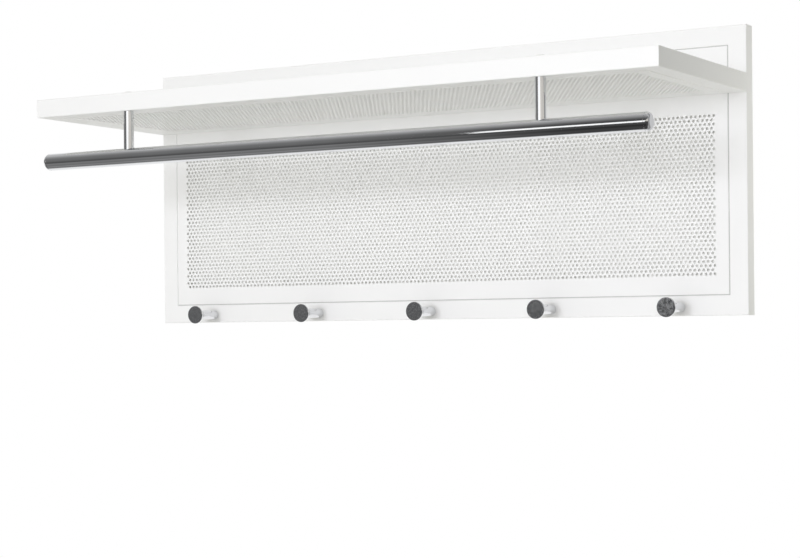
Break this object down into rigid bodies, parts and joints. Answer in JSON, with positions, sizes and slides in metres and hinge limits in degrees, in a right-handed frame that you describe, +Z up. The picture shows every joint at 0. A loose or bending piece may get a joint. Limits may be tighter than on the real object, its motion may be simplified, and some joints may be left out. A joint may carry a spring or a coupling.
{
  "type": "wall coat rack",
  "caption": "Wall-hung coat rack: framed perforated panel, shelf of the same build, coat rail on posts under the shelf's front edge and a row of flared pegs along the bottom.",
  "frame": {"origin": "middle of the top tube's back face, where the rack hangs on the wall", "axes": "+X to the right seen from the room, +Y into the wall, +Z up"},
  "size_m": [0.75, 0.2535, 0.3015],
  "materials": {
    "white_enamel": "satin white powder coat on steel",
    "chrome": "polished chrome plate",
    "zinc_plate": "bright zinc plate",
    "white_plastic": "moulded white plastic",
    "white_hardboard": "hardboard with a smooth white lacquered face"
  },
  "bodies": {
    "root": {"back_frame_top": "white_enamel", "back_frame_bottom": "white_enamel", "back_frame_left": "white_enamel", "back_frame_right": "white_enamel", "back_cross_rail": "white_enamel", "back_sheet": "white_enamel", "back_sheet_studs": "zinc_plate", "back_sheet_nuts": "zinc_plate", "board_standoffs": "zinc_plate", "backing_board": "white_hardboard", "board_screws": "zinc_plate", "shelf_frame_front": "white_enamel", "shelf_frame_back": "white_enamel", "shelf_frame_left": "white_enamel", "shelf_frame_right": "white_enamel", "shelf_under_sheet": "white_enamel", "shelf_top_sheet": "white_enamel", "shelf_sheet_studs": "zinc_plate", "shelf_sheet_nuts": "zinc_plate", "shelf_bolts": "zinc_plate", "shelf_weld_nuts": "zinc_plate", "rail_tube": "chrome", "rail_cap_left": "chrome", "rail_cap_right": "chrome", "rail_post_left": "chrome", "rail_post_right": "chrome", "rail_screws": "zinc_plate", "rail_screw_plugs": "white_plastic", "peg_1": "chrome", "peg_2": "chrome", "peg_3": "chrome", "peg_4": "chrome", "peg_5": "chrome", "peg_screws": "zinc_plate"}
  },
  "joints": []
}
